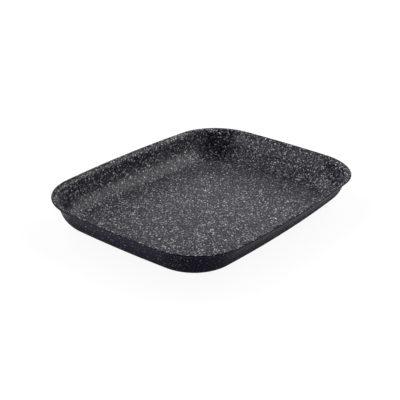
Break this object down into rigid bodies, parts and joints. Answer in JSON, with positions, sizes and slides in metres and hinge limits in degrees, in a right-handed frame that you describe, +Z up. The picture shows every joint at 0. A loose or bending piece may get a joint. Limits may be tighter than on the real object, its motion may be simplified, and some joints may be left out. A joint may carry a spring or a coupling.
{
  "type": "roasting pan",
  "caption": "Shallow rectangular roasting pan with rounded corners, sloping walls and an outward-rolled lip, pressed from aluminium sheet and coated with a speckled non-stick film.",
  "frame": {"origin": "under the middle of the base, on the surface that the pan stands on", "axes": "+Z up out of the pan, +X along its long sides, +Y across it"},
  "size_m": [0.4, 0.3, 0.042],
  "materials": {
    "aluminium_sheet": "pressed sheet, coated all over",
    "inner_nonstick": "satin charcoal non-stick film with dense light flecks",
    "outer_nonstick": "smooth near-black film with sparse light flecks"
  },
  "bodies": {
    "root": {"pan_body": "aluminium_sheet", "inner_coating": "inner_nonstick", "outer_coating": "outer_nonstick"}
  },
  "joints": []
}
